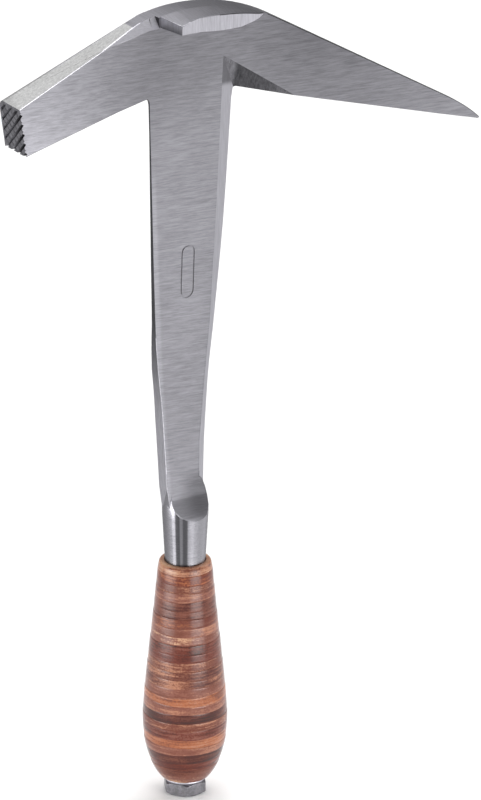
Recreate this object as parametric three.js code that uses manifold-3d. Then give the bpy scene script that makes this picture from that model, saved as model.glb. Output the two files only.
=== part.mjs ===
// A slater's hammer: one steel forging with a striking arm, a pick, a nail claw and a flat knife-edged
// shank, and a grip of leather discs stacked on its tang and clamped by a hexagon nut at the butt.
//
// Millimetres. +Z runs up the shank, -X points to the striking face, +X to the pick, and -Y is the
// front, the side that the claw stands out of. The origin is the centre of the butt end of the tang.

import * as THREE from 'three';
import { mergeVertices } from 'three/addons/utils/BufferGeometryUtils.js';
import { ConvexGeometry } from 'three/addons/geometries/ConvexGeometry.js';
import Module from 'manifold-3d';

const wasm = await Module();
wasm.setup();

// ---- driving dimensions -------------------------------------------------------------------------

const CLEARANCE = 0.3; // gap left wherever two separate pieces meet

// the forging seen from the front: x across, z up
const CROWN = { x: -4, z: 320.1 }; // highest point of the head
const ARM_TOP = { x: -77.3, z: 297.4 }; // upper corner of the striking face
const ARM_TOP_ROOT = { x: -25.4, z: 316.3 }; // where the arm's straight top meets the crown
const ARM_FOOT = { x: -74.5, z: 277.9 }; // lower corner of the striking face
const ARM_CROTCH = { x: -17.8, z: 287.8 };
const PICK_TOP_ROOT = { x: 38.9, z: 308.1 }; // where the crown meets the pick's straight top
const PICK_SHOULDER = { x: 117, z: 258.9 }; // where the pick's top starts to curve to its point
const PICK_POINT = { x: 132.4, z: 246.7 };
const PICK_FOOT = { x: 131.9, z: 246.1 };
const PICK_CROTCH = { x: 21.6, z: 283.3 };
const CROTCH_RADIUS = 2;
const BLADE_LEFT = [[-17.5, 279], [-15.2, 200], [-13.7, 176.5], [-11.8, 158.5], [-10.3, 137], [-9.7, 127]];
const BLADE_RIGHT = [[21, 279], [17.2, 232], [12, 190.5], [9.5, 170], [8, 143], [7.5, 127]];
const BLADE_END = { left: -8, right: 7.4, z: 116 }; // the flat blade ends inside the round shoulder

// the forging seen from above: y is depth, the front is negative
const FRONT = -2.3; // the flat front face
const HEAD_BACK = 6;
const BLADE_BACK = 3.4; // back of the blade where it is thinnest
const FACE_FRONT = -5.4; // the striking arm flares to these two depths
const FACE_BACK = 9.4;
const FACE_X = -80;
const FLARE_FRONT_X = -32; // the front flare starts here
const FLARE_BACK_X = -20;
const PICK_TIP_FRONT = -1.9;
const PICK_TIP_BACK = -0.7;
const PICK_TIP_X = 134;
const PICK_TAPER_X = 20; // the pick's back starts to taper here

// the blade's right bevel and the facet under the pick meet along this line
const VALLEY_TOP = [15.3, FRONT, 297.9];
const VALLEY_FOOT = [21.7, 0.85, 283.2];

// the nail claw, a lug on the front of the crown
const CLAW_TIP = { x: -10.4, y: -13.3 };
const CLAW_WALL_X = -12.9; // the claw's slot wall where it leaves the front face
const CLAW_FLANK = [[-1, -10.8], [10, -10.1], [20, -8.4], [28, -6.1], [34, -2.2]];
const CLAW_DROOP = 0.1; // the claw's top falls by this much for each unit forward
const CLAW_UNDERSIDE = [[-14, 315], [-10.4, 315], [9, 311.7], [19, 310.4], [36, 310.8]]; // x, z

// the round shoulder and the tang
const SHOULDER_SEAT_Z = 88.84; // the shoulder stands on the leather stack here
const SHOULDER_PROFILE = [[7.85, 98], [8.35, 107], [8.8, 115], [8.85, 118]]; // radius, height
const SHOULDER_DOME = [[8.5, 121.5], [7.9, 124.5], [6.6, 128], [4, 131], [0, 132]]; // radius, height
const SCOOP_Z = 125.5; // the flats start to run out of the round shoulder here
const FRONT_SCOOP_RADIUS = 13;
const BACK_SCOOP_RADIUS = 8;
const TANG_RADIUS = 4.5;
const THREAD_RADIUS = 4;
const THREAD_TOP_Z = 9;

// the striking face's milled pattern
const GROOVE_SETS = [
  { side: -1, pitch: 2.8, width: 1.2, depth: 0.9, count: 4 },
  { side: 1, pitch: 2.8, width: 0.7, depth: 0.4, count: 4 },
]; // count is on each side of the middle groove
const GROOVE_ANGLE = Math.PI / 4;
const MILLED_BORDER = 1.1; // the plain border above and behind the grooves

// the pressed outline on the shank
const STAMP = { x: -0.7, z: 214.2, width: 6, height: 21.4, line: 0.6, depth: 0.25, leanDegrees: 1.8 };

// the grip
const RING_COUNT = 26;
const GRIP_BOTTOM_Z = 6.5;
const GRIP_TOP_Z = 95.7;
const GRIP_PROFILE = [
  [9.1, 6.5], [10.9, 8.6], [12.4, 11.6], [14.2, 16.4], [15.5, 22], [16.1, 29], [16.05, 34.4], [15.2, 45.4],
  [14.3, 54], [13.55, 61.4], [12.6, 70], [11.85, 77.3], [11, 86], [10.5, 92.1], [9.7, 95.7],
];
const NUT = { acrossFlats: 15, height: 5, chamfer: 0.9, turn: THREE.MathUtils.degToRad(3) };
const WASHER = { radius: 8, z: 5.3, thickness: 0.9 };

// ---- solids -------------------------------------------------------------------------------------

function solidOf(geometry) {
  const bare = geometry.clone();
  bare.deleteAttribute('normal');
  bare.deleteAttribute('uv');
  const merged = mergeVertices(bare, 1e-5);
  return new wasm.Manifold(new wasm.Mesh({
    numProp: 3,
    vertProperties: new Float32Array(merged.attributes.position.array),
    triVerts: new Uint32Array(merged.index.array),
  }));
}

function geometryOf(solid) {
  const mesh = solid.getMesh();
  const geometry = new THREE.BufferGeometry();
  geometry.setAttribute('position', new THREE.BufferAttribute(new Float32Array(mesh.vertProperties), 3));
  geometry.setIndex(new THREE.BufferAttribute(new Uint32Array(mesh.triVerts), 1));
  geometry.computeVertexNormals();
  return geometry;
}

function hull(points) {
  return solidOf(new ConvexGeometry(points.map(([x, y, z]) => new THREE.Vector3(x, y, z))));
}

function extruded(shape, depth, curveSegments = 12) {
  return new THREE.ExtrudeGeometry(shape, { depth, bevelEnabled: false, curveSegments });
}

// a front-view outline (x, z) made solid from one depth to another
function frontPrism(shape, yLow, yHigh) {
  return solidOf(extruded(shape, yHigh - yLow).rotateX(Math.PI / 2).translate(0, yHigh, 0));
}

// a plan outline (x, y) made solid from one height to another
function planPrism(shape, zLow, zHigh) {
  return solidOf(extruded(shape, zHigh - zLow).translate(0, 0, zLow));
}

// a side-view outline (y, z) made solid from one x to another
function sidePrism(shape, xLow, xHigh) {
  const axes = new THREE.Matrix4().makeBasis(
    new THREE.Vector3(0, 1, 0),
    new THREE.Vector3(0, 0, 1),
    new THREE.Vector3(1, 0, 0),
  );
  return solidOf(extruded(shape, xHigh - xLow).applyMatrix4(axes).translate(xLow, 0, 0));
}

function polygon(points) {
  return new THREE.Shape(points.map(([u, v]) => new THREE.Vector2(u, v)));
}

function turned(profile, segments) {
  return new THREE.LatheGeometry(profile.map(([r, z]) => new THREE.Vector2(r, z)), segments)
    .rotateX(Math.PI / 2);
}

function addSpline(shape, points, count) {
  const curve = new THREE.SplineCurve(points.map(([u, v]) => new THREE.Vector2(u, v)));
  curve.getPoints(count).forEach((point) => shape.lineTo(point.x, point.y));
}

// ---- the forging --------------------------------------------------------------------------------

// the crown's curve, from the arm's straight top to the pick's
function drawCrown(shape) {
  shape.lineTo(ARM_TOP_ROOT.x, ARM_TOP_ROOT.z);
  shape.quadraticCurveTo(-14.9, CROWN.z, CROWN.x, CROWN.z);
  shape.bezierCurveTo(8, CROWN.z, 24.9, 316.9, PICK_TOP_ROOT.x, PICK_TOP_ROOT.z);
}

function forgingOutline() {
  const shape = new THREE.Shape();
  shape.moveTo(ARM_FOOT.x, ARM_FOOT.z);
  shape.lineTo(ARM_TOP.x, ARM_TOP.z);
  drawCrown(shape);
  shape.lineTo(PICK_SHOULDER.x, PICK_SHOULDER.z);
  shape.quadraticCurveTo(126.5, 252.9, PICK_POINT.x, PICK_POINT.z);
  shape.lineTo(PICK_FOOT.x, PICK_FOOT.z);
  shape.lineTo(PICK_CROTCH.x + CROTCH_RADIUS, PICK_CROTCH.z - 0.35 * CROTCH_RADIUS);
  shape.quadraticCurveTo(PICK_CROTCH.x, PICK_CROTCH.z, PICK_CROTCH.x - 0.1, PICK_CROTCH.z - CROTCH_RADIUS);
  addSpline(shape, BLADE_RIGHT, 20);
  shape.lineTo(BLADE_END.right, BLADE_END.z);
  shape.lineTo(BLADE_END.left, BLADE_END.z);
  addSpline(shape, BLADE_LEFT.toReversed(), 20);
  shape.lineTo(ARM_CROTCH.x + 0.1, ARM_CROTCH.z - CROTCH_RADIUS);
  shape.quadraticCurveTo(ARM_CROTCH.x, ARM_CROTCH.z, ARM_CROTCH.x - CROTCH_RADIUS, ARM_CROTCH.z - 0.35);
  return shape;
}

function forgingPlan() {
  return polygon([
    [FACE_X, FACE_FRONT], [FLARE_FRONT_X, FRONT], [PICK_TAPER_X, FRONT], [PICK_TIP_X, PICK_TIP_FRONT],
    [PICK_TIP_X, PICK_TIP_BACK], [PICK_TAPER_X, HEAD_BACK], [FLARE_BACK_X, HEAD_BACK], [FACE_X, FACE_BACK],
  ]);
}

function clawLug() {
  const crown = new THREE.Shape();
  crown.moveTo(ARM_TOP_ROOT.x, 290);
  drawCrown(crown);
  crown.lineTo(PICK_TOP_ROOT.x, 290);
  const root = FRONT + CLEARANCE; // the lug's root lies a little way inside the head
  const droop = new THREE.Matrix4().set(
    1, 0, 0, 0,
    0, 1, 0, 0,
    0, CLAW_DROOP, 1, -CLAW_DROOP * FRONT,
    0, 0, 0, 1,
  );
  const length = root - CLAW_TIP.y + 1;
  const bar = extruded(crown, length).rotateX(Math.PI / 2).translate(0, root, 0).applyMatrix4(droop);

  const plan = new THREE.Shape();
  plan.moveTo(CLAW_WALL_X, root);
  plan.lineTo(CLAW_TIP.x, CLAW_TIP.y);
  addSpline(plan, [[CLAW_TIP.x, CLAW_TIP.y], ...CLAW_FLANK].slice(1), 14);
  plan.lineTo(CLAW_FLANK.at(-1)[0], root);

  const [left, right] = [CLAW_UNDERSIDE[0][0], CLAW_UNDERSIDE.at(-1)[0]];
  const above = polygon([[right, 330], [left, 330], ...CLAW_UNDERSIDE]);
  return solidOf(bar)
    .intersect(frontPrism(crown, -20, root))
    .intersect(planPrism(plan, 290, 330))
    .intersect(frontPrism(above, -20, root))
    .add(clawGusset());
}

// the low slope that carries the claw's underside back into the front face
function clawGusset() {
  const inside = FRONT + CLEARANCE;
  const rim = [[9, -9.4, 311.8], [19, -7.8, 310.6], [27, -5.6, 310.8]];
  const root = [[9, inside, 308.9], [19, inside, 308.1], [30, inside, 309.4]];
  const embedded = rim.slice(0, 2).map(([x, y]) => [x, y, 313.5]);
  const leftEnd = [[-4, -9.8, 314.4], [-4, inside, 314.4]];
  return hull([...rim, ...root, ...embedded, ...leftEnd]);
}

// the slot between the arm and the claw: a chamfer that grows along the arm's top edge, and a nick
function clawSlot() {
  const chamfer = hull([
    [-39, FRONT - 0.05, 311.6], [-39, FRONT - 6, 311.6], [-39, FRONT - 3, 316],
    [-16.4, 0.6, 319.4], [-16.4, FRONT, 315.2], [-16.4, FRONT - 6, 315.2], [-16.4, -3, 326],
    [-17.6, 0.5, 319], [-17.6, -3, 326],
  ]);
  const nick = hull([
    [-18.4, FRONT - 0.1, 314.7], [-13.2, FRONT - 0.1, 314.7], [-18.4, -6, 314.7], [-13.2, -6, 314.7],
    [-16.4, 1.4, 322], [-14.4, 1.4, 322], [-20, -6, 322], [-13.2, -6, 322],
  ]);
  return chamfer.add(nick);
}

// cuts one ground bevel, cell by cell: each station is a line across the bevel, from its front point
// to its back point, lengthened both ways, and the corner that the grinding takes away
function bevelCutter(stations, cornerOf) {
  const overshoot = 2;
  const sections = stations.map(([front, back]) => {
    const a = new THREE.Vector3(...front);
    const b = new THREE.Vector3(...back);
    const along = b.clone().sub(a).setLength(overshoot);
    a.sub(along);
    b.add(along);
    return [a.toArray(), b.toArray(), cornerOf(a, b)];
  });
  return sections.slice(1)
    .map((section, index) => hull([...sections[index], ...section]))
    .reduce((whole, cell) => whole.add(cell));
}

// the slate-cutting edge: the blade's left side is ground thin from the back
function knifeBevel() {
  const stations = [
    [[-20, HEAD_BACK + 0.6, 300], [-12, HEAD_BACK + 0.9, 300]],
    [[-17.7, -1.3, 285], [-1.5, 6, 285]],
    [[-15.2, 0.2, 200], [-3.5, 3.9, 200]],
    [[-13.7, 2.5, 176], [-8, 3.6, 176]],
    [[-11.5, 3.5, 154], [-8.5, 3.6, 154]],
  ];
  return bevelCutter(stations, (a, b) => [a.x, b.y, a.z]);
}

// the bevel along the front of the blade's right edge
function rightBevel() {
  const stations = [
    [VALLEY_TOP, VALLEY_FOOT],
    [[14.1, FRONT, 272], [20.4, 0.6, 272]],
    [[12, FRONT, 232], [17.2, 0.1, 232]],
    [[9.4, FRONT, 190.5], [12, -1.1, 190.5]],
    [[7.2, FRONT, 170], [9.5, -1.2, 170]],
    [[4.9, FRONT, 144], [8, -0.8, 144]],
    [[4.7, FRONT, 127], [7.5, -1, 127]],
    [[5.2, FRONT, 114], [8, -1.2, 114]],
  ];
  return bevelCutter(stations, (a, b) => [b.x, a.y, b.z]);
}

// the facet ground under the pick, in the crotch: a wedge in front of the plane through three corners
function crotchBevel() {
  const top = new THREE.Vector3(...VALLEY_TOP);
  const foot = new THREE.Vector3(47.5, FRONT, 275);
  const corner = new THREE.Vector3(...VALLEY_FOOT);
  const farFoot = top.clone().lerp(foot, 1.04);
  const farCorner = top.clone().lerp(corner, 1.2);
  const facet = [top, farFoot, farCorner];
  const front = facet.map((point) => point.clone().setY(FRONT - 8));
  return hull([...facet, ...front].map((point) => point.toArray()));
}

// a narrow facet under the pick's point
function pointBevel() {
  return hull([
    [104, FRONT - 0.4, 256.5], [133, FRONT - 0.4, 247.8], [133, FRONT - 4, 247.8], [104, FRONT - 4, 256.5],
    [104, FRONT + 0.9, 254.2], [133, FRONT + 1.4, 245.3], [104, FRONT + 0.9, 250], [133, FRONT + 1.4, 240],
    [104, FRONT - 4, 250], [133, FRONT - 4, 240],
  ]);
}

// thins the blade from the back, between the head and the shoulder
function bladeBackCutter() {
  const outline = polygon([
    [HEAD_BACK + 0.1, 288], [BLADE_BACK, 186], [BLADE_BACK, BLADE_END.z - 1],
    [HEAD_BACK + 6, BLADE_END.z - 1], [HEAD_BACK + 6, 288],
  ]);
  return sidePrism(outline, -40, 40);
}

// runs a flat out of the round shoulder with a concave sweep; side is -1 for the front, 1 for the back
function scoop(flatY, radius, side) {
  const steps = 12;
  const outline = [[flatY, 150]];
  for (let step = 0; step <= steps; step += 1) {
    const angle = (step / steps) * (Math.PI / 2);
    outline.push([flatY + side * radius * (1 - Math.cos(angle)), SCOOP_Z - radius * Math.sin(angle)]);
  }
  outline.push([side * 24, SCOOP_Z - radius], [side * 24, 150]);
  return sidePrism(polygon(side < 0 ? outline : outline.toReversed()), -20, 20);
}

function shoulderAndTang() {
  const seatRadius = SHOULDER_PROFILE[0][0];
  const profile = [
    [0, 0], [THREAD_RADIUS, 0], [THREAD_RADIUS, THREAD_TOP_Z], [TANG_RADIUS, THREAD_TOP_Z + 0.5],
    [TANG_RADIUS, SHOULDER_SEAT_Z], [seatRadius, SHOULDER_SEAT_Z], ...SHOULDER_PROFILE,
    ...SHOULDER_DOME,
  ];
  return solidOf(turned(profile, 48))
    .subtract(scoop(FRONT, FRONT_SCOOP_RADIUS, -1))
    .subtract(scoop(BLADE_BACK, BACK_SCOOP_RADIUS, 1));
}

// rounds the arm's upper back edge, less and less towards the crown
function armEdgeRound() {
  const down = new THREE.Vector3(0.36, 0, -1).normalize();
  const inward = new THREE.Vector3(0, -1, 0);
  const ends = [
    { corner: new THREE.Vector3(FACE_X, FACE_BACK, ARM_TOP.z - 0.98), radius: 3.7 },
    { corner: new THREE.Vector3(-19, HEAD_BACK - 0.1, 318.6), radius: 0.8 },
  ];
  const place = ({ corner }, across, below) => corner.clone()
    .addScaledVector(inward, across).addScaledVector(down, below).toArray();
  const block = [];
  const core = [];
  for (const end of ends) {
    const { radius } = end;
    for (const [across, below] of [[-2, -2], [radius, -2], [radius, radius], [-2, radius]]) {
      block.push(place(end, across, below));
    }
    for (let step = 0; step < 24; step += 1) {
      const angle = (step / 24) * 2 * Math.PI;
      core.push(place(end, radius * (1 + Math.cos(angle)), radius * (1 + Math.sin(angle))));
    }
  }
  return hull(block).subtract(hull(core));
}

// crossed grooves milled into the striking face
function faceGrooves() {
  const up = new THREE.Vector3(ARM_TOP.x - ARM_FOOT.x, 0, ARM_TOP.z - ARM_FOOT.z).normalize();
  const across = new THREE.Vector3(0, 1, 0);
  const outward = new THREE.Vector3().crossVectors(up, across).normalize();
  const centre = new THREE.Vector3(
    (ARM_TOP.x + ARM_FOOT.x) / 2,
    (FACE_FRONT + FACE_BACK) / 2,
    (ARM_TOP.z + ARM_FOOT.z) / 2,
  );
  const cutters = [];
  for (const { side, pitch, width, depth, count } of GROOVE_SETS) {
    const run = up.clone().multiplyScalar(Math.cos(GROOVE_ANGLE))
      .addScaledVector(across, side * Math.sin(GROOVE_ANGLE));
    const step = new THREE.Vector3().crossVectors(outward, run).normalize();
    for (let index = -count; index <= count; index += 1) {
      const middle = centre.clone().addScaledVector(step, index * pitch);
      cutters.push(vee(middle, run, step, outward, width, depth));
    }
  }
  return cutters
    .reduce((whole, cutter) => whole.add(cutter))
    .intersect(milledArea(centre, up, across, outward));
}

// the part of the face that the grooves may reach: it has a cut-off corner and is open at the front
// and at the foot
function milledArea(centre, up, across, outward) {
  const top = Math.hypot(ARM_TOP.x - ARM_FOOT.x, ARM_TOP.z - ARM_FOOT.z) / 2 - MILLED_BORDER;
  const back = (FACE_BACK - FACE_FRONT) / 2 - MILLED_BORDER;
  const outline = [[-20, -20], [back, -20], [back, top - 2.5], [back - 2.5, top], [-20, top]];
  const points = [];
  for (const depth of [-4, 4]) {
    for (const [sideways, upwards] of outline) {
      points.push(centre.clone()
        .addScaledVector(across, sideways)
        .addScaledVector(up, upwards)
        .addScaledVector(outward, depth)
        .toArray());
    }
  }
  return hull(points);
}

function vee(middle, run, step, outward, width, depth) {
  const points = [];
  for (const end of [-20, 20]) {
    const at = middle.clone().addScaledVector(run, end);
    points.push(at.clone().addScaledVector(outward, -depth));
    for (const side of [-1, 1]) {
      points.push(at.clone().addScaledVector(step, side * width).addScaledVector(outward, depth));
    }
  }
  return hull(points.map((point) => point.toArray()));
}

// a plain stadium-shaped line pressed into the front face
function stampOutline() {
  const loop = (halfWidth, halfRun) => {
    const shape = new THREE.Shape();
    shape.moveTo(halfWidth, -halfRun);
    shape.absarc(0, halfRun, halfWidth, 0, Math.PI);
    shape.absarc(0, -halfRun, halfWidth, Math.PI, 2 * Math.PI);
    return shape;
  };
  const halfRun = (STAMP.height - STAMP.width) / 2;
  const cut = (halfWidth) => frontPrism(loop(halfWidth, halfRun), FRONT - 1, FRONT + STAMP.depth);
  return cut(STAMP.width / 2)
    .subtract(cut(STAMP.width / 2 - STAMP.line))
    .rotate(0, STAMP.leanDegrees, 0)
    .translate(STAMP.x, 0, STAMP.z);
}

function hammerBody() {
  return frontPrism(forgingOutline(), -16, 14)
    .intersect(planPrism(forgingPlan(), 100, 330))
    .subtract(bladeBackCutter())
    .subtract(knifeBevel())
    .subtract(crotchBevel())
    .subtract(rightBevel())
    .subtract(pointBevel())
    .add(shoulderAndTang())
    .subtract(armEdgeRound())
    .subtract(clawSlot())
    .add(clawLug())
    .subtract(faceGrooves())
    .subtract(stampOutline());
}

// ---- the grip -----------------------------------------------------------------------------------

// the grip's outer radius at a height, on the straight run between two profile points
function gripRadius(z) {
  const next = Math.max(1, GRIP_PROFILE.findIndex(([, height]) => height >= z - 1e-6));
  const [r0, z0] = GRIP_PROFILE[next - 1];
  const [r1, z1] = GRIP_PROFILE[next];
  return THREE.MathUtils.mapLinear(z, z0, z1, r0, r1);
}

function leatherRing(index) {
  const pitch = (GRIP_TOP_Z - GRIP_BOTTOM_Z) / RING_COUNT;
  const bottom = GRIP_BOTTOM_Z + index * pitch;
  const top = bottom + pitch - (index === RING_COUNT - 1 ? 0 : CLEARANCE);
  const aboveSeat = bottom > SHOULDER_SEAT_Z - CLEARANCE;
  const bore = (aboveSeat ? SHOULDER_PROFILE[0][0] + 0.05 : TANG_RADIUS) + CLEARANCE;
  const middle = (bottom + top) / 2;
  const profile = [
    [bore, bottom], [gripRadius(bottom), bottom], [gripRadius(middle), middle], [gripRadius(top), top],
    [bore, top], [bore, bottom],
  ];
  return turned(profile, 24);
}

// ---- the washer and the nut ---------------------------------------------------------------------

function endWasher() {
  const bore = THREAD_RADIUS + CLEARANCE;
  const { radius, z, thickness } = WASHER;
  return turned([
    [bore, z], [radius, z], [radius, z + thickness], [bore, z + thickness], [bore, z],
  ], 40);
}

function buttNut() {
  const cornerRadius = NUT.acrossFlats / 2 / Math.cos(Math.PI / 6);
  const hexagon = [];
  for (let corner = 0; corner < 6; corner += 1) {
    const angle = NUT.turn + (corner * Math.PI) / 3;
    hexagon.push([cornerRadius * Math.cos(angle), cornerRadius * Math.sin(angle)]);
  }
  const rim = NUT.acrossFlats / 2 - 0.1;
  const wide = cornerRadius + 0.5;
  const chamfered = turned([
    [0, 0], [rim, 0], [wide, NUT.chamfer * 1.5],
    [wide, NUT.height - NUT.chamfer], [rim, NUT.height], [0, NUT.height],
  ], 48);
  const bore = THREAD_RADIUS + CLEARANCE;
  const hole = turned([[0, -1], [bore, -1], [bore, NUT.height + 1], [0, NUT.height + 1]], 32);
  return planPrism(polygon(hexagon), 0, NUT.height).intersect(solidOf(chamfered)).subtract(solidOf(hole));
}

// ---- the assembly -------------------------------------------------------------------------------

function piece(name, geometry, color, roughness, metalness) {
  const material = new THREE.MeshStandardMaterial({ color, roughness, metalness });
  const mesh = new THREE.Mesh(geometry, material);
  mesh.name = name;
  return mesh;
}

const LEATHER_TONES = ['#a8653c', '#8a4a36', '#6e3a30', '#b87446'];

const hammer = new THREE.Group();
hammer.add(piece('hammer_body', geometryOf(hammerBody()), '#a9a9ad', 0.32, 1));
for (let index = 0; index < RING_COUNT; index += 1) {
  const name = `leather_ring_${String(index + 1).padStart(2, '0')}`;
  hammer.add(piece(name, leatherRing(index), LEATHER_TONES[index % LEATHER_TONES.length], 0.38, 0));
}
hammer.add(piece('end_washer', endWasher(), '#a2a2a6', 0.35, 1));
hammer.add(piece('butt_nut', geometryOf(buttNut()), '#8e8e93', 0.4, 1));

export default hammer;
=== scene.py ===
# A slater's hammer with a leather-ring grip, built round its fixed CAD frame.
#
# Metres, in the CAD frame: +Z runs up the shank, -X points to the striking face, +X to the pick,
# and -Y is the front, the side that the nail claw stands out of.

import math

import bmesh
import bpy
from mathutils import Matrix, Vector
from mathutils.bvhtree import BVHTree


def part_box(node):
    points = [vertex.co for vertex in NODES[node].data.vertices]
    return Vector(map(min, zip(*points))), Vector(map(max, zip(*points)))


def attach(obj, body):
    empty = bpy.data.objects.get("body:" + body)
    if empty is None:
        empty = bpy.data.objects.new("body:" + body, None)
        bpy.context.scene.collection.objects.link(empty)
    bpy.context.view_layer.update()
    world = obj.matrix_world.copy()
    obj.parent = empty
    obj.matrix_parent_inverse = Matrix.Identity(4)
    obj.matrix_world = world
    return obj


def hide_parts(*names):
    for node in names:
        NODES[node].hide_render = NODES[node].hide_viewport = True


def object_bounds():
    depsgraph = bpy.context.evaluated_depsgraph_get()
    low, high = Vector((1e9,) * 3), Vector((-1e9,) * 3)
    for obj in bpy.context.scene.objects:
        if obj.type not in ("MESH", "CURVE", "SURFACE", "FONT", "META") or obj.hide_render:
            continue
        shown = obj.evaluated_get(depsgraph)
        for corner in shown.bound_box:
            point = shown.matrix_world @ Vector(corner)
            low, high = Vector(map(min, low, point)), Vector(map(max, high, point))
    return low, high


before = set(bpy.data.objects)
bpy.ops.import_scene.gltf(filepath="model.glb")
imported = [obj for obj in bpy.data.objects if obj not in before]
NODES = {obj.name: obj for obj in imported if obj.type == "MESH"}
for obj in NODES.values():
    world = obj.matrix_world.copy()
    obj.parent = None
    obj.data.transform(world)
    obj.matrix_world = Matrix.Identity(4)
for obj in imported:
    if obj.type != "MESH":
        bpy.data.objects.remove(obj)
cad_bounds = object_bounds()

MM = 0.001
RINGS = sorted(name for name in NODES if name.startswith("leather_ring_"))

# ---- camera -------------------------------------------------------------------------------------

VIEW_AZIMUTH = math.radians(-33.85)
VIEW_ELEVATION = math.radians(23.15)
VIEW_ROLL = math.radians(0.16)
VIEW_DISTANCE = 6.0
VIEW_HEIGHT = 0.3010  # what the tall side of the picture covers at the target
VIEW_TARGET = Vector((17.4, -11.3, 160.7)) * MM


def add_camera():
    data = bpy.data.cameras.new("camera")
    data.lens = data.sensor_width * VIEW_DISTANCE / VIEW_HEIGHT
    data.clip_end = 100
    camera = bpy.data.objects.new("camera", data)
    bpy.context.scene.collection.objects.link(camera)
    level = math.cos(VIEW_ELEVATION)
    back = Vector((
        math.sin(VIEW_AZIMUTH) * level,
        -math.cos(VIEW_AZIMUTH) * level,
        math.sin(VIEW_ELEVATION),
    ))
    aim = (-back).to_track_quat("-Z", "Y").to_matrix().to_4x4()
    place = Matrix.Translation(VIEW_TARGET + back * VIEW_DISTANCE)
    camera.matrix_world = place @ aim @ Matrix.Rotation(VIEW_ROLL, 4, "Z")
    bpy.context.scene.camera = camera


# ---- shader wiring ------------------------------------------------------------------------------


class Surface:
    """One material being wired: a Principled BSDF and the nodes that feed it."""

    def __init__(self, name):
        self.material = bpy.data.materials.new(name)
        self.material.use_nodes = True
        self.tree = self.material.node_tree
        self.shader = self.tree.nodes["Principled BSDF"]
        self.place = self.add("ShaderNodeTexCoord").outputs["Object"]

    def add(self, kind, values=None, **settings):
        node = self.tree.nodes.new(kind)
        for key, value in settings.items():
            setattr(node, key, value)
        for key, value in (values or {}).items():
            self.feed(node.inputs[key], value)
        return node

    def feed(self, socket, value):
        if isinstance(value, bpy.types.NodeSocket):
            self.tree.links.new(value, socket)
        else:
            socket.default_value = value

    def set(self, **values):
        for key, value in values.items():
            self.feed(self.shader.inputs[key.replace("_", " ")], value)

    def math(self, operation, first, second=0.0):
        node = self.add("ShaderNodeMath", {0: first, 1: second}, operation=operation)
        return node.outputs[0]

    def between(self, factor, low, high):
        """factor runs from 0 to 1; the result runs from low to high."""
        node = self.add("ShaderNodeMapRange", {0: factor, 3: low, 4: high})
        return node.outputs[0]

    def step(self, value, start, end):
        """0 below start, 1 above end, and smooth in between."""
        node = self.add("ShaderNodeMapRange", {0: value, 1: start, 2: end})
        node.interpolation_type = "SMOOTHSTEP"
        return node.outputs[0]

    def mix(self, factor, low, high, blend="MIX"):
        node = self.add("ShaderNodeMix", {0: factor, 6: low, 7: high}, data_type="RGBA")
        node.blend_type = blend
        return node.outputs[2]

    def stretched(self, turn_axis, turn, scale):
        """Object coordinates turned about an axis, then scaled: small scales give long marks."""
        turned = self.add("ShaderNodeVectorRotate", {0: self.place, 3: turn})
        turned.rotation_type = turn_axis
        scaled = self.add("ShaderNodeVectorMath", {0: turned.outputs[0], 1: scale})
        scaled.operation = "MULTIPLY"
        return scaled.outputs[0]

    def axis(self, name):
        """One of the object coordinates X, Y and Z."""
        return self.add("ShaderNodeSeparateXYZ", {0: self.place}).outputs[name]

    def noise(self, vector, scale=1.0, detail=3.0, roughness=0.55):
        node = self.add("ShaderNodeTexNoise", {
            "Vector": vector, "Scale": scale, "Detail": detail, "Roughness": roughness,
        })
        return node.outputs["Fac"]

    def bump(self, height, distance, strength=1.0):
        node = self.add("ShaderNodeBump", {
            "Height": height, "Distance": distance, "Strength": strength,
        })
        self.feed(self.shader.inputs["Normal"], node.outputs[0])


def grey(value):
    """A linear grey."""
    return (value, value, value, 1)


def steel_grey(value):
    """A linear grey with the trace of purple that steel has."""
    return (value * 1.015, value, value * 1.085, 1)


def from_screen(red, green, blue):
    """A screen colour of three 0-255 values as linear light."""
    def linear(value):
        value /= 255
        return value / 12.92 if value <= 0.04045 else ((value + 0.055) / 1.055) ** 2.4
    return (linear(red), linear(green), linear(blue), 1)


# ---- steel --------------------------------------------------------------------------------------

ALONG, ACROSS = 150.0, 2200.0  # marks per metre along and across a ground face


def ground_steel(name, tone, roughness, scale, turn=0, contrast=0.12, shading=None, tint=steel_grey):
    """Ground steel. Its marks run along the axis that scale stretches; tint turns a tone into a colour.

    shading(surface) gives a factor for the tone; on most finishes it is painted light and shade.
    """
    surface = Surface(name)
    across = surface.stretched("Y_AXIS", turn, scale)
    fine = surface.noise(across, 1.0, 6, 0.75)
    broad = surface.noise(across, 0.55, 2, 0.5)
    cloud = surface.noise(surface.place, 30, 2, 0.5)
    streaks = surface.math("ADD", surface.math("MULTIPLY", fine, 0.7), surface.math("MULTIPLY", broad, 0.3))
    sharp = surface.step(streaks, 0.32, 0.68)
    drift = surface.math("MULTIPLY", surface.math("SUBTRACT", cloud, 0.5), contrast)
    shade = surface.math("ADD", surface.between(sharp, 1 - contrast, 1 + contrast), drift)
    if shading:
        shade = surface.math("MULTIPLY", shade, shading(surface))
    colour = surface.add("ShaderNodeVectorMath", {0: tint(tone)[:3]}, operation="SCALE")
    surface.feed(colour.inputs["Scale"], shade)
    surface.set(
        Base_Color=colour.outputs[0],
        Roughness=surface.between(sharp, roughness + 0.08, roughness - 0.06),
        Metallic=1.0,
        Specular_Tint=grey(0.5),
    )
    surface.bump(streaks, 0.000015)
    return surface.material


def painted_hollow_shade(surface):
    """Painted shade: the right of the hollow above the grip is painted duller, and so is the flat just
    above it.
    """
    x = surface.axis("X")
    z = surface.axis("Z")
    inside = surface.math("MULTIPLY", surface.step(z, 136 * MM, 124 * MM), surface.step(x, -7 * MM, 4 * MM))
    return surface.between(inside, 1.0, 0.5)


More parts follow.
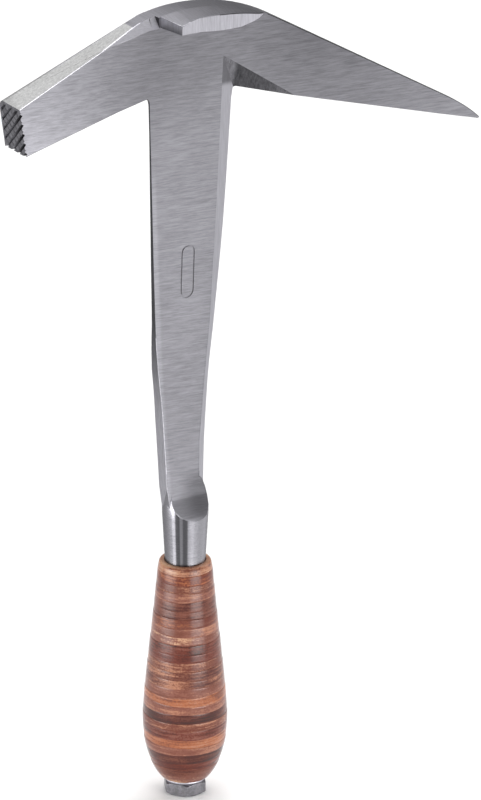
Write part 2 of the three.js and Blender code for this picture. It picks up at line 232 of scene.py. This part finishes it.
LEFT_EDGE_X = -17.5 * MM  # the shank's left edge at the head
LEFT_EDGE_TOP = 279 * MM
LEFT_EDGE_LEAN = 0.037
LEFT_EDGE_BEND = 176.5 * MM  # below this height it leans in more
LEFT_EDGE_MORE_LEAN = 0.044


def bright_left_margin(surface):
    """The flat is brighter beside the shank's left edge, which leans in towards the grip."""
    x = surface.axis("X")
    z = surface.axis("Z")
    below_head = surface.math("SUBTRACT", LEFT_EDGE_TOP, z)
    below_bend = surface.math("MAXIMUM", surface.math("SUBTRACT", LEFT_EDGE_BEND, z), 0.0)
    lean = surface.math("MULTIPLY", below_head, LEFT_EDGE_LEAN)
    more_lean = surface.math("MULTIPLY", below_bend, LEFT_EDGE_MORE_LEAN)
    edge = surface.math("ADD", surface.math("ADD", lean, more_lean), LEFT_EDGE_X)
    beside = surface.step(surface.math("SUBTRACT", x, edge), 2.4 * MM, 0.8 * MM)
    on_shank = surface.step(z, 268 * MM, 235 * MM)
    return surface.between(surface.math("MULTIPLY", beside, on_shank), 1.0, 1.22)


def flat_painted_light(surface):
    """Painted light and shade: the flat is painted brighter along the arm and down the shank than in the
    middle of the head.
    """
    x = surface.axis("X")
    z = surface.axis("Z")
    shank = surface.between(surface.step(z, 300 * MM, 262 * MM), 0.66, 0.90)
    low = surface.between(surface.step(z, 248 * MM, 145 * MM), 1.0, 0.51)
    arm = surface.between(surface.step(x, -12 * MM, -78 * MM), 1.0, 1.88)
    pick = surface.between(surface.step(x, 20 * MM, 60 * MM), 1.0, 0.80)
    tip = surface.between(surface.step(x, 80 * MM, 125 * MM), 1.0, 1.15)
    whole = shank
    for part in (low, arm, pick, tip, painted_hollow_shade(surface), bright_left_margin(surface)):
        whole = surface.math("MULTIPLY", whole, part)
    return whole


def bevel_shading(surface):
    """The bevel is ground bright up to the head; above that it is left as dull as the flat."""
    x = surface.axis("X")
    z = surface.axis("Z")
    level = surface.math("ADD", z, surface.math("MULTIPLY", x, 0.23))
    return surface.between(surface.step(level, 288.5 * MM, 291 * MM), 1.0, 0.45)


def crotch_painted_shade(surface):
    """Painted shade: the facet under the pick is painted dark, but dull grey at its root and along its thin
    end.
    """
    x = surface.axis("X")
    root = surface.between(surface.step(x, 22.5 * MM, 20 * MM), 0.66, 1.5)
    end = surface.between(surface.step(x, 30 * MM, 43 * MM), 1.0, 1.7)
    return surface.math("MULTIPLY", root, end)


def side_painted_shade(surface):
    """Painted shade on the thin left wall of the blade, which gets brighter towards the grip."""
    z = surface.axis("Z")
    return surface.between(surface.step(z, 200 * MM, 152 * MM), 0.55, 2.1)


def crown_painted_shade(surface):
    """Painted shade: the top is painted darker where the pick begins."""
    x = surface.axis("X")
    return surface.between(surface.step(x, 33 * MM, 44 * MM), 1.0, 0.3)


def wall_painted_shade(surface):
    """Painted shade: the claw's slot wall is painted darker towards its foot."""
    z = surface.axis("Z")
    return surface.between(surface.step(z, 314 * MM, 319 * MM), 0.35, 1.0)


def scoop_painted_light(surface):
    """Painted light and shade: the hollow is painted brighter as it turns out of the flat, and duller at
    its right.
    """
    z = surface.axis("Z")
    turned = surface.between(surface.step(z, 124 * MM, 117 * MM), 0.85, 1.55)
    return surface.math("MULTIPLY", turned, painted_hollow_shade(surface))


def groove_painted_shade(surface):
    """The painted shade in the milled grooves lightens towards the back of the face."""
    y = surface.axis("Y")
    return surface.between(surface.step(y, -4 * MM, 3 * MM), 1.0, 4.2)


def arm_top_shading(surface):
    """The arm's top is brightest at the striking end."""
    x = surface.axis("X")
    return surface.between(surface.step(x, -40 * MM, -74 * MM), 1.0, 1.1)


def edge_painted_highlight(surface):
    """Painted highlight: the striking arm's front edges are painted the brightest."""
    x = surface.axis("X")
    y = surface.axis("Y")
    highlit_front = surface.math("MULTIPLY", surface.step(x, -20 * MM, -30 * MM), surface.step(y, 3 * MM, 0.0))
    return surface.between(highlit_front, 1.0, 1.8)


# (angle in degrees, tone) of the painted reflection bands round the shoulder
PAINTED_REFLECTION_BANDS = [
    (-180, 0.27), (-160, 0.29), (-157, 0.45), (-151, 0.45), (-148, 0.10), (-139, 0.10), (-136, 0.26),
    (-131, 0.24), (-128, 0.115), (-119, 0.12), (-115, 0.40), (-104, 0.37), (-98, 0.30), (-74, 0.42),
    (-64, 0.5), (-20, 0.35), (10, 0.65), (30, 0.2), (60, 0.45), (85, 0.65), (100, 0.25), (125, 0.5),
    (150, 0.3), (179, 0.27),
]


def shoulder_painted_reflections(surface):
    """Painted reflections: bands of light and dark that run along the round shoulder, one beside the other
    round it.
    """
    turn = surface.add("ShaderNodeTexGradient", {"Vector": surface.place}, gradient_type="RADIAL")
    ramp = surface.add("ShaderNodeValToRGB", {"Fac": turn.outputs["Fac"]})
    stops = ramp.color_ramp.elements
    while len(stops) > 1:
        stops.remove(stops[-1])
    stops[0].position = 0
    stops[0].color = grey(PAINTED_REFLECTION_BANDS[0][1])
    for degrees, tone in PAINTED_REFLECTION_BANDS[1:]:
        stop = stops.new((degrees + 180) / 360)
        stop.color = grey(tone)
    return ramp.outputs["Color"]


# the forging's regions, each with a finish of its own, some with painted light and shade
(
    FLAT, BEVEL, ARM_TOP, CROWN, FLANK, CROTCH, SIDE, CLAW_WALL, MILLED, GROOVE, SCOOP, SHOULDER,
    SLOT, PAINTED_HIGHLIGHT_EDGE, PAINTED_SHADE_EDGE,
) = range(15)


def steel_materials():
    """The forging's finishes, some with painted light and shade, in the order of the region numbers."""
    level = (ALONG, ACROSS, ACROSS)
    upright = (ACROSS, ACROSS, ALONG)
    front_to_back = (ACROSS, ALONG, ACROSS)
    brush = math.radians(-5.6)
    arm_slope = math.radians(-18)
    # name, tone, roughness, marks per metre along X, Y and Z, their turn, contrast and shading
    return [
        ground_steel("steel_flat", 0.40, 0.40, level, brush, 0.20, flat_painted_light),
        ground_steel("steel_bevel", 0.42, 0.42, upright, 0, 0.08, bevel_shading),
        ground_steel("steel_arm_top", 0.335, 0.42, level, arm_slope, 0.2, arm_top_shading, grey),
        ground_steel("steel_crown", 0.20, 0.42, front_to_back, 0, 0.13, crown_painted_shade),
        ground_steel("steel_claw_flank", 0.55, 0.45, upright, 0, 0.14),
        # painted shade: the facet under the pick is given a dark tone
        ground_steel("steel_crotch", 0.12, 0.50, (1500, 1500, ALONG), 0, 0.35, crotch_painted_shade),
        # painted shade: the thin left wall is given a dark tone
        ground_steel("steel_side", 0.14, 0.45, upright, 0, 0.15, side_painted_shade),
        ground_steel("steel_claw_wall", 0.60, 0.50, upright, 0, 0.12, wall_painted_shade),
        ground_steel("steel_milled_face", 0.22, 0.48, (700, 700, 300), 0, 0.25),
        # painted shade: the walls of the coarse milled grooves are given a near-black tone
        ground_steel("steel_groove", 0.05, 0.55, (300, 300, 300), 0, 0.2, groove_painted_shade),
        ground_steel("steel_scoop", 0.21, 0.40, level, brush, 0.15, scoop_painted_light),
        ground_steel("steel_shoulder", 0.75, 0.26, (ALONG, ALONG, ACROSS), 0, 0.04, shoulder_painted_reflections),
        ground_steel("steel_slot", 0.60, 0.42, level, arm_slope, 0.10),
        # painted highlight on the arm's edges, the blade's low left edge and the hollow's lip
        ground_steel("steel_painted_highlight_edge", 0.35, 0.35, level, 0, 0.25, edge_painted_highlight),
        # painted shade on the edges under the arm and along the pick's top
        ground_steel("steel_painted_shade_edge", 0.07, 0.45, level, 0, 0.15),
    ]


FACE_TILT = 0.14  # how far the milled face looks down; its coarse grooves rise to the front


def steel_region(centre, normal):
    """Which finish a face of the forging has, some with painted light and shade; centre is in millimetres.
    """
    x, y, z = centre
    off_axis = math.hypot(x, y)
    at_shoulder = z < 133 and off_axis < 9.2
    at_striking_end = x < -73
    beside_slot = -45 < x < -12 and y < 1 and z > 305
    on_head = z > 240
    on_claw = -21 < x < 36 and y < -2.9 and z > 306
    under_pick = 14 < x < 50 and y < 2
    right_of_blade = x > 3 and z < 298
    faces_out = normal.x * x + normal.y * y > 0.95 * off_axis
    faces_front = normal.y < -0.3

    if at_shoulder and off_axis > 7.2 and faces_out:
        return SHOULDER
    if at_shoulder and normal.z > 0.03 and abs(normal.x) < 0.7:
        return SCOOP
    if at_striking_end and normal.x < -0.3 and normal.z < 0.7:
        coarse = normal.y * (normal.z + FACE_TILT) > 0 and abs(normal.y) > 0.1
        return GROOVE if coarse else MILLED
    if beside_slot and faces_front and normal.z > 0.2:
        return SLOT
    if on_head and normal.z > 0.7:
        return ARM_TOP if x < -24 else CROWN
    if on_claw and faces_front and normal.z > -0.3:
        return FLANK if normal.x > -0.2 else CLAW_WALL
    if under_pick and normal.z < -0.25 and normal.y < -0.25:
        return CROTCH
    if right_of_blade and normal.x > 0.3 and faces_front:
        return BEVEL
    if normal.x < -0.6 and abs(normal.y) < 0.75:
        return CLAW_WALL if z > 306 and y < -2.4 else SIDE
    return FLAT


def edge_region(centre, normal):
    """Which finish a rounded edge of the forging has, a painted highlight or painted shade on some; centre
    is in millimetres.
    """
    x, y, z = centre
    under_arm = x < -18 and y < 0 and z < 300 and normal.z < -0.3
    on_arm = x < -5 and z > 290
    low_on_blade = x < -5 and 133 < z < 195
    at_hollow_lip = x < 3 and y < 0 and 110 < z < 118
    on_pick_top = x > 8 and z > 240 and normal.z > 0.2

    if under_arm:
        return PAINTED_SHADE_EDGE
    if on_arm or low_on_blade or at_hollow_lip:
        return PAINTED_HIGHLIGHT_EDGE
    if on_pick_top:
        return PAINTED_SHADE_EDGE
    return steel_region(centre, normal)


# ---- the forging --------------------------------------------------------------------------------


def finish_piece(piece, node):
    """Rides the piece on the one body, in the place of its CAD node."""
    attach(piece, "root")
    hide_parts(node)


SAME_POINT = 0.004 * MM
SHORTEST_EDGE = 0.01 * MM


def copy_cad(node, name):
    """A new object with the CAD node's mesh, its double points merged."""
    source = NODES[node]
    mesh = bpy.data.meshes.new(name)
    work = bmesh.new()
    work.from_mesh(source.data)
    work.transform(source.matrix_world)
    bmesh.ops.remove_doubles(work, verts=work.verts, dist=SAME_POINT)
    bmesh.ops.dissolve_degenerate(work, edges=work.edges, dist=SHORTEST_EDGE)
    work.to_mesh(mesh)
    work.free()
    made = bpy.data.objects.new(name, mesh)
    bpy.context.scene.collection.objects.link(made)
    return made


ROUNDING_TRIALS = 3
SPARED_REACH = 0.8 * MM  # how near a spared point keeps an edge sharp


def rounded_copy(mesh, width, least_angle, wanted, spared):
    """The mesh with its wanted outward edges rounded, but for those with a spared point by their middle."""
    work = bmesh.new()
    work.from_mesh(mesh)
    edges = []
    for edge in work.edges:
        middle = (edge.verts[0].co + edge.verts[1].co) / 2
        clear = all((middle - point).length > SPARED_REACH for point in spared)
        if clear and edge.calc_face_angle_signed(0) > least_angle and wanted(middle / MM):
            edges.append(edge)
    rounded = bmesh.ops.bevel(
        work, geom=edges, offset=width, offset_type="OFFSET", segments=2, profile=0.5,
        affect="EDGES", clamp_overlap=False,
    )
    for face in rounded["faces"]:
        face.material_index = edge_region(face.calc_center_median() / MM, face.normal)
    work.normal_update()
    return work


def folded_corners(work, before):
    """The corners of the faces that rounding has turned inside out."""
    corners = []
    for face in work.faces:
        was = before.find_nearest(face.calc_center_median())[1]
        if was.dot(face.normal) < -0.2:
            corners += [vert.co.copy() for vert in face.verts]
    return corners


def round_edges(piece, width, least_angle, wanted):
    """Rounds edges by a hair, so that they catch the light as ground edges do.

    Trial runs find the short edges that have no room for it, and those stay sharp.
    """
    sharp = bmesh.new()
    sharp.from_mesh(piece.data)
    before = BVHTree.FromBMesh(sharp)
    sharp.free()
    spared = []
    for _ in range(ROUNDING_TRIALS):
        work = rounded_copy(piece.data, width, least_angle, wanted, spared)
        spared += folded_corners(work, before)
        work.free()
    work = rounded_copy(piece.data, width, least_angle, wanted, spared)
    work.to_mesh(piece.data)
    work.free()


def shade_corners(mesh, limit):
    """Shades each corner as the average of the faces round it that lie within limit of its own."""
    work = bmesh.new()
    work.from_mesh(mesh)
    normals = []
    for face in work.faces:
        for corner in face.loops:
            near = [other for other in corner.vert.link_faces if other.normal.angle(face.normal, 0) < limit]
            total = Vector()
            for other in near:
                total += other.normal * other.calc_area()
            normals.append(total.normalized())
    work.free()
    for polygon in mesh.polygons:
        polygon.use_smooth = True
    mesh.normals_split_custom_set(normals)


# boxes, in millimetres, whose edges are too fine to round: the pressed outline, the milled face, the
# line where the claw leaves the crown, the nick beside the claw and the end of the arm's rounded edge
FINE_WORK = [
    ((-5, -3, 201), (4, 0, 228)),
    ((-90, -9, 270), (-73, 12, 310)),
    ((-12, -2.8, 310), (33, -1.8, 330)),
    ((-20, -7, 312), (-12, 1.5, 323)),
    ((-30, 2, 310), (-14, 9, 323)),
]


def outer_edge(point):
    """Whether a point, in millimetres, is clear of the fine work."""
    return not any(
        all(low <= part <= high for low, part, high in zip(lows, point, highs))
        for lows, highs in FINE_WORK
    )


EDGE_WIDTH = 0.25 * MM
SHARP_EDGE = math.radians(24)
SMOOTH_CORNER = math.radians(12)


def build_forging():
    piece = copy_cad("hammer_body", "hammer_forging")
    for material in steel_materials():
        piece.data.materials.append(material)
    for polygon in piece.data.polygons:
        polygon.material_index = steel_region(polygon.center / MM, polygon.normal)
    round_edges(piece, EDGE_WIDTH, SHARP_EDGE, outer_edge)
    shade_corners(piece.data, SMOOTH_CORNER)
    finish_piece(piece, "hammer_body")


# ---- turned pieces ------------------------------------------------------------------------------


def turned_mesh(name, profile_at, segments):
    """A closed ring: profile_at(angle) gives its (radius, height) points, in order round the section."""
    work = bmesh.new()
    loops = []
    for index in range(segments):
        angle = 2 * math.pi * index / segments
        loops.append([
            work.verts.new((radius * math.cos(angle), radius * math.sin(angle), height))
            for radius, height in profile_at(angle)
        ])
    for index, loop in enumerate(loops):
        following = loops[(index + 1) % segments]
        for spot in range(len(loop)):
            after = (spot + 1) % len(loop)
            work.faces.new((loop[spot], following[spot], following[after], loop[after]))
    bmesh.ops.recalc_face_normals(work, faces=work.faces)
    mesh = bpy.data.meshes.new(name)
    work.to_mesh(mesh)
    work.free()
    made = bpy.data.objects.new(name, mesh)
    bpy.context.scene.collection.objects.link(made)
    return made


def smooth_below(piece, angle):
    """Shades the piece smooth, but for its edges that turn by more than angle."""
    for polygon in piece.data.polygons:
        polygon.use_smooth = True
    piece.data.set_sharp_from_angle(angle=angle)


# ---- the leather grip ---------------------------------------------------------------------------

RING_SEGMENTS = 96
RING_STEPS = 10  # steps up a ring's rim
JOINT_DEPTH = 0.06 * MM  # the worn nick between two rings
JOINT_WIDTH = 0.30 * MM
RIM_ROUND = 0.9 * MM  # the rounded upper rim of the top ring
PROUD = 0.05 * MM  # how far a ring may stand out from its neighbours, or in
# a joint's waves: their height in millimetres, their number and how far they turn from joint to joint
WAVES = ((0.22, 1, 2.4), (0.10, 3, 1.7))


def cad_profile():
    """The grip's (height, radius) points, read from the CAD rings."""
    widest = {}
    for name in RINGS:
        for vertex in NODES[name].data.vertices:
            x, y, z = NODES[name].matrix_world @ vertex.co
            height = round(z / MM, 2)
            widest[height] = max(widest.get(height, 0), math.hypot(x, y))
    return sorted((height * MM, radius) for height, radius in widest.items())


PROFILE = cad_profile()
JOINTS = [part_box(name)[0].z for name in RINGS] + [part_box(RINGS[-1])[1].z]


def grip_radius(height):
    """The rim's radius at a height, averaged over a few millimetres so that it runs smoothly."""
    def exact(z):
        z = min(max(z, PROFILE[0][0]), PROFILE[-1][0])
        for (z0, r0), (z1, r1) in zip(PROFILE, PROFILE[1:]):
            if z <= z1:
                return r0 + (r1 - r0) * (z - z0) / (z1 - z0)
        return PROFILE[-1][1]
    reach = min(1.5 * MM, height - PROFILE[0][0], PROFILE[-1][0] - height)
    return sum(exact(height + reach * part) for part in (-1, -0.5, 0, 0.5, 1)) / 5


def joint_height(joint, angle):
    """Hand-cut discs meet in slightly wavy lines; the two ends of the stack are flat."""
    if joint in (0, len(JOINTS) - 1):
        return JOINTS[joint]
    wave = sum(high * math.sin(count * angle + turn * joint) for high, count, turn in WAVES)
    return JOINTS[joint] + wave * MM


def ring_profile(index, bore):
    """The section of one leather ring at an angle."""
    top_ring = index == len(RINGS) - 1
    proud = PROUD * math.sin(2.1 * index)

    def at(angle):
        low, high = joint_height(index, angle), joint_height(index + 1, angle)
        points = [(bore, low)]
        for step in range(RING_STEPS + 1):
            height = low + (high - low) * (1 - math.cos(math.pi * step / RING_STEPS)) / 2
            edge = min(height - low, high - height)
            nick = JOINT_DEPTH * max(0, 1 - edge / JOINT_WIDTH) ** 2
            radius = grip_radius(height) + proud - nick
            if top_ring and height > high - RIM_ROUND:
                rise = (height - high + RIM_ROUND) / RIM_ROUND
                radius -= RIM_ROUND * (1 - math.sqrt(max(0, 1 - rise * rise)))
            points.append((radius, height))
        points.append((bore, high))
        return points

    return at


def leather(name, dark, middle, light, seed):
    """Varnished leather seen edge-on: layers and fibres that run round the grip, and pores."""
    surface = Surface(name)
    moved = surface.add("ShaderNodeVectorMath", {0: surface.place, 1: (seed, seed, seed)}).outputs[0]

    def stretched(round_it, up_it):
        scaled = surface.add("ShaderNodeVectorMath", {0: moved, 1: (round_it, round_it, up_it)})
        scaled.operation = "MULTIPLY"
        return scaled.outputs[0]

    shares = [
        (surface.noise(stretched(45, 1150), 1.0, 3, 0.6), 0.30),
        (surface.noise(stretched(90, 260), 1.0, 2, 0.5), 0.25),
        (surface.noise(stretched(420, 3400), 1.0, 3, 0.7), 0.13),
        (surface.noise(stretched(1700, 2300), 1.0, 2, 0.8), 0.32),
    ]
    fibres, pores = shares[2][0], shares[3][0]
    blend = 0.0
    for part, share in shares:
        blend = surface.math("ADD", blend, surface.math("MULTIPLY", part, share))
    colour = surface.mix(surface.step(blend, 0.43, 0.495), dark, middle)
    colour = surface.mix(surface.step(blend, 0.505, 0.57), colour, light)
    pitted = surface.math("MULTIPLY", surface.step(pores, 0.54, 0.70), 0.6)
    surface.set(
        Base_Color=surface.mix(pitted, colour, dark),
        Roughness=surface.between(fibres, 0.45, 0.65),
        Coat_Weight=1.0,
        Coat_Roughness=0.2,
        Coat_IOR=1.34,
        Specular_IOR_Level=0.05,
    )
    surface.bump(blend, 0.00005)
    return surface.material


CREAM = from_screen(184, 144, 114)
TAN = from_screen(156, 108, 84)
ORANGE = from_screen(144, 84, 54)
PINK_BROWN = from_screen(116, 71, 59)
BROWN = from_screen(100, 56, 43)
RED_BROWN = from_screen(92, 41, 29)
MAROON = from_screen(70, 32, 26)
DARK_BROWN = from_screen(52, 31, 27)

# the dark, middle and light tones of each ring's layers, from the butt up
RING_TONES = [
    (BROWN, PINK_BROWN, CREAM), (MAROON, BROWN, PINK_BROWN), (MAROON, RED_BROWN, PINK_BROWN),
    (DARK_BROWN, MAROON, BROWN), (BROWN, PINK_BROWN, TAN), (BROWN, ORANGE, TAN),
    (DARK_BROWN, RED_BROWN, PINK_BROWN), (RED_BROWN, BROWN, TAN), (DARK_BROWN, MAROON, BROWN),
    (BROWN, PINK_BROWN, TAN), (BROWN, ORANGE, TAN), (BROWN, PINK_BROWN, TAN),
    (MAROON, BROWN, TAN), (MAROON, BROWN, TAN), (RED_BROWN, BROWN, TAN),
    (MAROON, RED_BROWN, PINK_BROWN), (DARK_BROWN, RED_BROWN, PINK_BROWN), (BROWN, PINK_BROWN, CREAM),
    (BROWN, PINK_BROWN, TAN), (RED_BROWN, BROWN, ORANGE), (MAROON, BROWN, PINK_BROWN),
    (MAROON, BROWN, PINK_BROWN), (RED_BROWN, PINK_BROWN, TAN), (RED_BROWN, BROWN, TAN),
    (RED_BROWN, RED_BROWN, ORANGE), (BROWN, TAN, CREAM),
]


SHOULDER_HOLE = 8.0 * MM  # the top ring's bore, round the foot of the shoulder
TANG_HOLE = 4.8 * MM
SEED_STEP = 0.37  # keeps the rings' layers from lining up


def build_grip():
    for index, node in enumerate(RINGS):
        bore = SHOULDER_HOLE if index == len(RINGS) - 1 else TANG_HOLE
        piece = turned_mesh(f"{node}_rim", ring_profile(index, bore), RING_SEGMENTS)
        smooth_below(piece, math.radians(50))
        finish = leather(f"leather_{index + 1:02d}", *RING_TONES[index], SEED_STEP * index)
        piece.data.materials.append(finish)
        finish_piece(piece, node)


# ---- the washer and the nut ---------------------------------------------------------------------


def plated(name, tone, mottle):
    """Zinc plating with a cloudy, slightly pitted skin."""
    surface = Surface(name)
    clouds = surface.noise(surface.place, 420, 4, 0.7)
    grain = surface.noise(surface.place, 3200, 2, 0.6)
    mixed = surface.math("ADD", surface.math("MULTIPLY", clouds, 0.7), surface.math("MULTIPLY", grain, 0.3))
    shade = surface.step(mixed, 0.35, 0.65)
    colour = surface.mix(shade, steel_grey(tone * (1 - mottle)), steel_grey(tone * (1 + mottle)))
    surface.set(Base_Color=colour, Roughness=surface.between(shade, 0.48, 0.3), Metallic=1.0)
    surface.bump(mixed, 0.00004)
    return surface.material


WASHER_BORE = 4.4 * MM
WASHER_CHAMFER = 0.2 * MM
WASHER_SEGMENTS = 96


def build_washer():
    low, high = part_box("end_washer")
    outer = high.x
    section = [
        (WASHER_BORE, low.z), (outer - WASHER_CHAMFER, low.z), (outer, low.z + WASHER_CHAMFER),
        (outer, high.z - WASHER_CHAMFER), (outer - WASHER_CHAMFER, high.z), (WASHER_BORE, high.z),
    ]
    piece = turned_mesh("end_washer_disc", lambda angle: section, WASHER_SEGMENTS)
    smooth_below(piece, math.radians(50))
    piece.data.materials.append(plated("plated_washer", 0.62, 0.2))
    finish_piece(piece, "end_washer")


NUT_CORNER_RADIUS = 8.66 * MM
NUT_BORE = 4.35 * MM
NUT_TURN = math.radians(3)
NUT_WORN_CORNER = 0.15 * MM  # worn off each upright corner
CONE_HEIGHT = 1.1 * MM  # how far the end cones reach along the nut
CONE_INSET = 0.25 * MM  # how far the cones start inside the flats
CONE_STEPS = 5
NUT_SEGMENTS = 120


def nut_profile(low, high):
    """A hexagon nut's section at an angle, its corners cut back by a cone at both ends."""
    across = NUT_CORNER_RADIUS * math.cos(math.pi / 6)
    slope = math.tan(math.radians(30))

    def at(angle):
        off_flat = (angle - NUT_TURN) % (math.pi / 3) - math.pi / 6
        flat = min(across / math.cos(off_flat), NUT_CORNER_RADIUS - NUT_WORN_CORNER)
        points = [(NUT_BORE, low)]
        for side, base in ((1, low), (-1, high)):
            rows = []
            for step in range(CONE_STEPS + 1):
                rise = CONE_HEIGHT * step / CONE_STEPS
                cone = across - CONE_INSET + rise / slope
                rows.append((min(flat, cone), base + side * rise))
            points += rows if side == 1 else rows[::-1]
        points.append((NUT_BORE, high))
        return points

    return at


def build_nut():
    low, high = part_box("butt_nut")
    piece = turned_mesh("butt_nut_hexagon", nut_profile(low.z, high.z), NUT_SEGMENTS)
    smooth_below(piece, math.radians(20))
    piece.data.materials.append(plated("plated_nut", 0.24, 0.3))
    finish_piece(piece, "butt_nut")


# ---- floor and light ----------------------------------------------------------------------------


FLOOR_RADIUS = 8.0
FLOOR_GAP = 0.2 * MM


def build_floor():
    mesh = bpy.data.meshes.new("floor")
    work = bmesh.new()
    bmesh.ops.create_circle(work, cap_ends=True, segments=96, radius=FLOOR_RADIUS)
    work.to_mesh(mesh)
    work.free()
    floor = bpy.data.objects.new("floor", mesh)
    bpy.context.scene.collection.objects.link(floor)
    floor.location.z = cad_bounds[0].z - FLOOR_GAP
    surface = Surface("floor_paper")
    fibres = surface.noise(surface.place, 60, 3, 0.6)
    surface.set(Base_Color=surface.mix(fibres, grey(0.92), grey(0.95)), Roughness=0.9)
    floor.data.materials.append(surface.material)


def add_softbox(name, place, aim, width, height, power, spread=180):
    """A rectangular light at place, facing aim; power is in watts and spread in degrees."""
    data = bpy.data.lights.new(name, "AREA")
    data.shape = "RECTANGLE"
    data.size, data.size_y = width, height
    data.energy = power
    data.spread = math.radians(spread)
    light = bpy.data.objects.new(name, data)
    bpy.context.scene.collection.objects.link(light)
    light.location = place
    light.rotation_euler = (Vector(aim) - Vector(place)).to_track_quat("-Z", "Y").to_euler()
    light.visible_camera = False


def add_lights():
    """Broad, soft light from all round, and two narrow lights that put a sheen on the grip's varnish."""
    head = (0, 0, 0.25)
    add_softbox("overhead", (0.5, 0.7, 2.0), (0.2, 0.3, 0), 1.8, 1.8, 36)
    add_softbox("back_top", (0.25, 1.5, 1.35), head, 1.0, 0.6, 1.0)
    add_softbox("right", (1.5, -0.35, 0.7), (0, 0, 0.15), 0.7, 1.3, 6)
    add_softbox("front", (0.15, -1.5, 0.75), (0, 0, 0.1), 0.35, 1.4, 4)
    add_softbox("left", (-1.2, -1.3, 0.8), (0, 0, 0.15), 0.5, 1.4, 3)
    add_softbox("grip_right", (0.04, -0.25, 0.05), (0, 0, 0.045), 0.22, 0.12, 0.11, 70)
    add_softbox("grip_left", (-0.25, 0.03, 0.06), (0, 0, 0.05), 0.30, 0.12, 0.15, 70)


def set_world():
    world = bpy.data.worlds.new("studio")
    world.use_nodes = True
    background = world.node_tree.nodes["Background"]
    background.inputs["Color"].default_value = grey(0.9)
    background.inputs["Strength"].default_value = 0.4
    bpy.context.scene.world = world
    bpy.context.scene.view_settings.view_transform = "Standard"


add_camera()
build_forging()
build_grip()
build_washer()
build_nut()
build_floor()
add_lights()
set_world()
